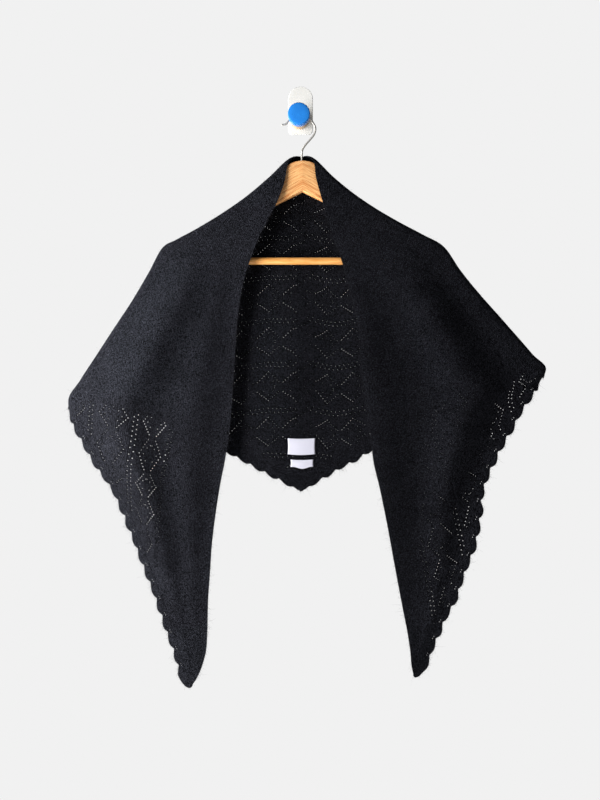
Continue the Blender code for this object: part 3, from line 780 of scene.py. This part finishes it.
def edgeFibres(name, rims, each, seed):  # rims: rows of rim point, outward way, face normal
    chance = np.random.default_rng(seed)
    rims = np.asarray(rims)
    count = int(len(rims) * each)
    spot = chance.uniform(0, len(rims) - 1.001, count)
    low = spot.astype(int)
    share = (spot - low)[:, None]
    point, out, face = (rims[low, k] * (1 - share) + rims[low + 1, k] * share for k in range(3))
    run = unit(np.cross(out, face))
    along, across = fuzz["splay"]
    ways = unit(out + run * chance.normal(0, along, (count, 1)) + face * chance.normal(0, across, (count, 1)))
    lengths = fibreLengths(chance, count)
    bends = chance.normal(0, fuzz["edgeCurl"], (count, 3)) + (0, 0, -fuzz["sag"])
    offset = fuzz["rootOffset"]
    start = point - out * chance.uniform(*fuzz["roots"], (count, 1))
    start = start + face * chance.uniform(-offset, offset, (count, 1))
    return fibrePiece(name, start, ways, bends, lengths)


def faceFibres(name, strips, seed):  # hairs lying on both faces of one stretch of cloth
    chance = np.random.default_rng(seed)
    cells = np.array([(i, r) for i, (low, high), _ in strips for r in range(low + 1, high)
                      if r < grid.shape[1] - 1 and not np.isnan(grid[i + 1, r, 0] + grid[i, r + 1, 0])])
    count = 2 * fuzz["face"]
    column, row = cells[chance.integers(0, len(cells), count)].T
    here = grid[column, row]
    along = grid[column + 1, row] - here
    across = grid[column, row + 1] - here
    face = normals[column, row] * np.where(chance.random((count, 1)) < 0.5, -1, 1)
    turn = chance.uniform(0, 2 * math.pi, (count, 1))
    flat = unit(along) * np.cos(turn) + unit(across) * np.sin(turn)
    ways = unit(flat + face * chance.uniform(*fuzz["rise"], (count, 1)))
    start = here + along * chance.random((count, 1)) + across * chance.random((count, 1))
    start = start + face * fuzz["start"] * knit["wall"]
    bends = chance.normal(0, fuzz["faceCurl"], (count, 3)) - face * fuzz["lie"]
    return fibrePiece(name, start, ways, bends, fibreLengths(chance, count))


def frontEdge(first, last):
    rows = []
    for i in range(first, last):
        start = columns[i]["start"]
        point, inner = grid[i, start], grid[i, min(start + 2, columns[i]["end"])]
        rows.append((point, unit(point - inner), normals[i, start]))
    return rows


fibresLeft = [edgeFibres("fibresRimFrontLeft", rimFrontLeft, fuzz["rim"], 21),
              edgeFibres("fibresEdgeLeft", frontEdge(1, leftJoin), fuzz["edge"], 22),
              faceFibres("fibresFrontLeft", frontStrips[-1], 23)]
fibresRight = [edgeFibres("fibresRimFrontRight", rimFrontRight, fuzz["rim"], 24),
               edgeFibres("fibresEdgeRight", frontEdge(rightJoin, len(columns) - 1), fuzz["edge"], 25),
               faceFibres("fibresFrontRight", frontStrips[1], 26)]
fibresBack = [edgeFibres("fibresRimBackLeft", rimBackLeft, fuzz["rim"], 27),
              edgeFibres("fibresRimBackRight", rimBackRight, fuzz["rim"], 28),
              edgeFibres("fibresNeck", frontEdge(leftJoin, rightJoin), fuzz["edge"], 29),
              faceFibres("fibresBack", backStrips, 30)]
print("loose fibres")

# Hanger and wall hook
hanger = {
    "x": 3.5, "y": -35.0, "thickness": 13.0, "top": -87.2, "bottom": -137.3,
    "slope": 26.0, "grainSlope": 31.0,          # of the lower edge and of the grain, degrees
    "clearance": 1.35, "bevel": 2.0,            # below the cloth's middle, and round the edges
    "crown": [(0.02, 0.0), (11.0, -1.5), (19.5, -4.6)],     # out from the joint, up from the top
    # The lug for the bar, out and up from the bar's end, and how far inside that the lower edge ends
    "lug": [(18, 18), (21, 9), (21, -4), (16, -10), (4, -10), (0, -6), (0, 9)], "lugInside": 8,
    "barZ": -247.6, "barReach": 191.8, "barRadius": 5.7, "barGap": 0.3, "barChamfer": 0.8,
    "dowelLength": 9, "dowelRadius": 3.5,
    "wire": 1.6,
}
wallHook = {
    "knobX": -2.6, "knobZ": -16.6, "knobRadius": 17.6, "knobBack": -40.5, "knobDepth": 22.5,
    # Rims: in from the back or the front, and in from the radius
    "backRim": [(0, 1.8), (0.5, 0.6), (1.8, 0)],
    "frontRim": [(2.6, 0), (1.2, 0.4), (0.3, 1.3), (0, 2.6)],
    "dome": (0.15, 0.2),                        # height halfway in and at the middle
}


def varnishedWood(name, pale, dark, turn, stretch, mirrored=False):
    # Beech or lotus wood under clear satin varnish: warm, straight grain about 3 mm apart, finer lines in it
    material, shader = newMaterial(
        name, {"Roughness": 0.45, "Coat Weight": 0.2, "Coat Roughness": 0.3, "Specular IOR Level": 0.35})
    place = objectPlace(shader)
    if mirrored:  # each arm's grain runs along it, so the two meet in a chevron
        split = addNode(shader, "ShaderNodeSeparateXYZ", {0: place}).outputs
        aside = calculate("ABSOLUTE", calculate("SUBTRACT", split[0], hanger["x"] / 1000))
        place = addNode(shader, "ShaderNodeCombineXYZ", {0: aside, 1: split[1], 2: split[2]}).outputs[0]
    run = addNode(shader, "ShaderNodeMapping", {"Vector": place, "Rotation": turn, "Scale": stretch},
                  vector_type="TEXTURE").outputs[0]
    bands = noise(run, 560.0, Detail=3.0, Roughness=0.6)
    pores = noise(run, 900.0)
    wood = blend(mapRange(bands, 0.38, 0.66, 0.0, 0.8), pale, dark)
    line = mapRange(pores, 0.58, 0.72, 1.0, 0.72)
    tint = mapRange(noise(place, 30.0), 0.3, 0.7, 0.93, 1.05)
    connect(shader, {"Base Color": scaleColour(wood, calculate("MULTIPLY", line, tint)),
                     "Roughness": mapRange(bands, 0.3, 0.7, 0.38, 0.52),
                     "Normal": bumpFrom(pores, 0.25, 0.0003)})
    return material


def drawnSteel():
    # Nickel-plated drawn steel wire: bright, with dull spots from handling
    material, shader = newMaterial("bright drawn steel wire", {"Metallic": 0.6, "Roughness": 0.32})
    dull = noise(objectPlace(shader), 160.0, Detail=3.0)
    connect(shader, {"Base Color": blend(dull, "#B9B5AD", "#DAD6CE"),
                     "Roughness": mapRange(dull, 0.3, 0.7, 0.28, 0.5)})
    return material


def satinFinish(name, pale, dark, roughness, grit, relief):
    # Paint or moulded plastic: even colour with a faint cloud in it, and a fine orange peel
    material, shader = newMaterial(name, {"Roughness": roughness, "Specular IOR Level": 0.4})
    place = objectPlace(shader)
    cloud = mapRange(noise(place, 70.0, Detail=3.0), 0.35, 0.65)
    connect(shader, {"Base Color": blend(cloud, pale, dark),
                     "Normal": bumpFrom(noise(place, grit), relief, 0.0002)})
    return material


armWood = varnishedWood("varnished lotus wood, arms", "#FFC583", "#C66E2C",
                        (0, math.radians(hanger["grainSlope"]), 0), (16, 1, 1), mirrored=True)
barWood = varnishedWood("varnished lotus wood, bar", "#F9B96C", "#DC8C34", (0, 0, 0), (12, 1, 1))
pegWood = varnishedWood("waxed beech, peg", "#E8C69E", "#C79A68", (0, 0, 0), (1, 8, 1))
steel = drawnSteel()
knobPaint = satinFinish("blue satin lacquer on turned beech", "#2386E2", "#1D7EDA", 0.42, 900.0, 0.3)
platePlastic = satinFinish("off-white moulded ABS", "#EFEEEA", "#EAE9E4", 0.5, 1400.0, 0.2)


def softEdges(build, degrees):  # smooth shading, sharp where faces meet at more than this angle
    for face in build.faces:
        face.smooth = True
    for edge in build.edges:
        edge.smooth = len(edge.link_faces) == 2 and math.degrees(edge.calc_face_angle(0)) < degrees


def hangerArm(name, node, sections, side):  # its crown runs under the cloth's turn
    rows = [(row[2], row[3]) for row in sections]
    places = np.append(np.arange(1, 5.01, 0.5), 5.3)
    here = splineAt(rows, places)
    run = splineAt(rows, places + 0.05) - here
    run[:, 0] = np.abs(run[:, 0])
    run = unit(run)
    reach = np.abs(here[:, 0] - hanger["x"]) + hanger["clearance"] * run[:, 1]
    crown = here[:, 1] - hanger["clearance"] * run[:, 0]
    joint, barEnd = hanger["crown"][0][0], hanger["barReach"]
    lowerEnd = barEnd - hanger["lugInside"]
    outline = [(x, hanger["top"] + z) for x, z in hanger["crown"]]
    outline += list(zip(reach, crown))
    outline += [(barEnd + x, hanger["barZ"] + z) for x, z in hanger["lug"]]
    outline += [(lowerEnd, hanger["bottom"] - math.tan(math.radians(hanger["slope"])) * lowerEnd),
                (joint, hanger["bottom"])]
    front = (hanger["y"] - hanger["thickness"] / 2) / 1000
    build = bmesh.new()
    corners = [build.verts.new(((hanger["x"] + side * x) / 1000, front, z / 1000)) for x, z in outline]
    face = build.faces.new(corners)
    slab = bmesh.ops.extrude_face_region(build, geom=[face])
    moved = [item for item in slab["geom"] if isinstance(item, bmesh.types.BMVert)]
    bmesh.ops.translate(build, verts=moved, vec=(0, hanger["thickness"] / 1000, 0))
    # Rounded along the top, a crisp chamfer along the lower edge, square where the two arms are glued
    jointX = (hanger["x"] + side * joint) / 1000
    lower = {round(z / 1000, 6) for _, z in outline[-2:]}
    rimEdges = {1: [], 2: []}    # by the number of segments
    for edge in build.edges:
        level = abs(edge.verts[0].co.y - edge.verts[1].co.y) < 1e-6
        if level and not all(abs(v.co.x - jointX) < 1e-6 for v in edge.verts):
            isLower = {round(v.co.z, 6) for v in edge.verts} == lower
            rimEdges[1 if isLower else 2].append(edge)
    for segments, edges in rimEdges.items():
        edges = [edge for edge in edges if edge.is_valid]
        bmesh.ops.bevel(build, geom=edges, offset=hanger["bevel"] / 1000, offset_type="OFFSET",
                        segments=segments, profile=0.5, affect="EDGES", material=-1)
    bmesh.ops.recalc_face_normals(build, faces=build.faces)
    softEdges(build, 32)
    return addPiece(name, build, [armWood], [node])


def turnedPiece(name, profile, place, axis, steps, material, node):  # profile: along the axis, radius
    build = bmesh.new()
    centre, axis = Vector(place) / 1000, Vector(axis)
    aside = axis.orthogonal().normalized()
    ring = [build.verts.new(centre + axis * (along / 1000) + aside * (radius / 1000)) for along, radius in profile]
    lines = [build.edges.new(pair) for pair in zip(ring, ring[1:])]
    bmesh.ops.spin(build, geom=ring + lines, cent=centre, axis=axis, angle=2 * math.pi, steps=steps,
                   use_merge=True)
    bmesh.ops.remove_doubles(build, verts=build.verts, dist=1e-6)
    bmesh.ops.recalc_face_normals(build, faces=build.faces)
    softEdges(build, 32)
    return addPiece(name, build, [material], [node])


hangerArm("hangerArmLeft", "hanger_arm_left", leftSections, -1)
hangerArm("hangerArmRight", "hanger_arm_right", rightSections, 1)
reach, radius, chamfer = hanger["barReach"] - hanger["barGap"], hanger["barRadius"], hanger["barChamfer"]
dowelEnd, dowelRadius = reach + hanger["dowelLength"], hanger["dowelRadius"]
barHalf = [(reach - chamfer, radius), (reach, radius - chamfer), (reach, dowelRadius), (dowelEnd, dowelRadius),
           (dowelEnd, 0)]
turnedPiece("hangerBar", [(-along, out) for along, out in barHalf[::-1]] + barHalf,
            (hanger["x"], hanger["y"], hanger["barZ"]), (1, 0, 0), 48, barWood, "hanger_bar")
depth, radius = wallHook["knobDepth"], wallHook["knobRadius"]
knobProfile = [(0, 0)] + [(along, radius - inward) for along, inward in wallHook["backRim"]]
knobProfile += [(depth - along, radius - inward) for along, inward in wallHook["frontRim"]]
knobProfile += [(depth + wallHook["dome"][0], radius * 0.5), (depth + wallHook["dome"][1], 0)]
turnedPiece("wallKnob", knobProfile, (wallHook["knobX"], wallHook["knobBack"], wallHook["knobZ"]), (0, -1, 0), 72,
            knobPaint, "wall_knob")

# The hook's wire, from its seat in the arms over the peg to its cut end
wireRows = [(2, -104), (2, -92), (2, -77), (3, -69.5), (7.8, -61.7), (14.5, -54), (20.7, -46.4), (23.6, -38.7),
            (23.1, -32.2), (19.6, -25.8), (15.6, -18.5), (11.5, -10.8), (5.6, -5.4), (-2, -3.5), (-9.6, -5.6),
            (-15.2, -11.5), (-17.6, -18), (-19.9, -24.2), (-23.4, -28.2), (-27, -29.4), (-30.4, -29.8)]
wireLine = splineAt(wireRows, np.linspace(0, len(wireRows) - 1.001, 140))
wireData = bpy.data.curves.new("hangerHook", "CURVE")
wireData.dimensions = "3D"
wireData.bevel_depth = hanger["wire"] / 1000
wireData.bevel_resolution = 5
wireData.use_fill_caps = True
wireSpline = wireData.splines.new("POLY")
wireSpline.points.add(len(wireLine) - 1)
for point, (x, z) in zip(wireSpline.points, wireLine):
    point.co = (x / 1000, hanger["y"] / 1000, z / 1000, 1)
wireSpline.points[-1].radius = 0.8    # the cut end is a little rounded
wireSpline.use_smooth = True
placePiece("hangerHook", wireData, [steel], ["hanger_hook"])

for node, material in (("wall_plate", platePlastic), ("wall_peg", pegWood)):
    slots = bpy.data.objects[node].material_slots
    if not slots:
        bpy.data.objects[node].data.materials.append(material)
    for held in slots:
        held.material = material
print("hanger and wall hook")
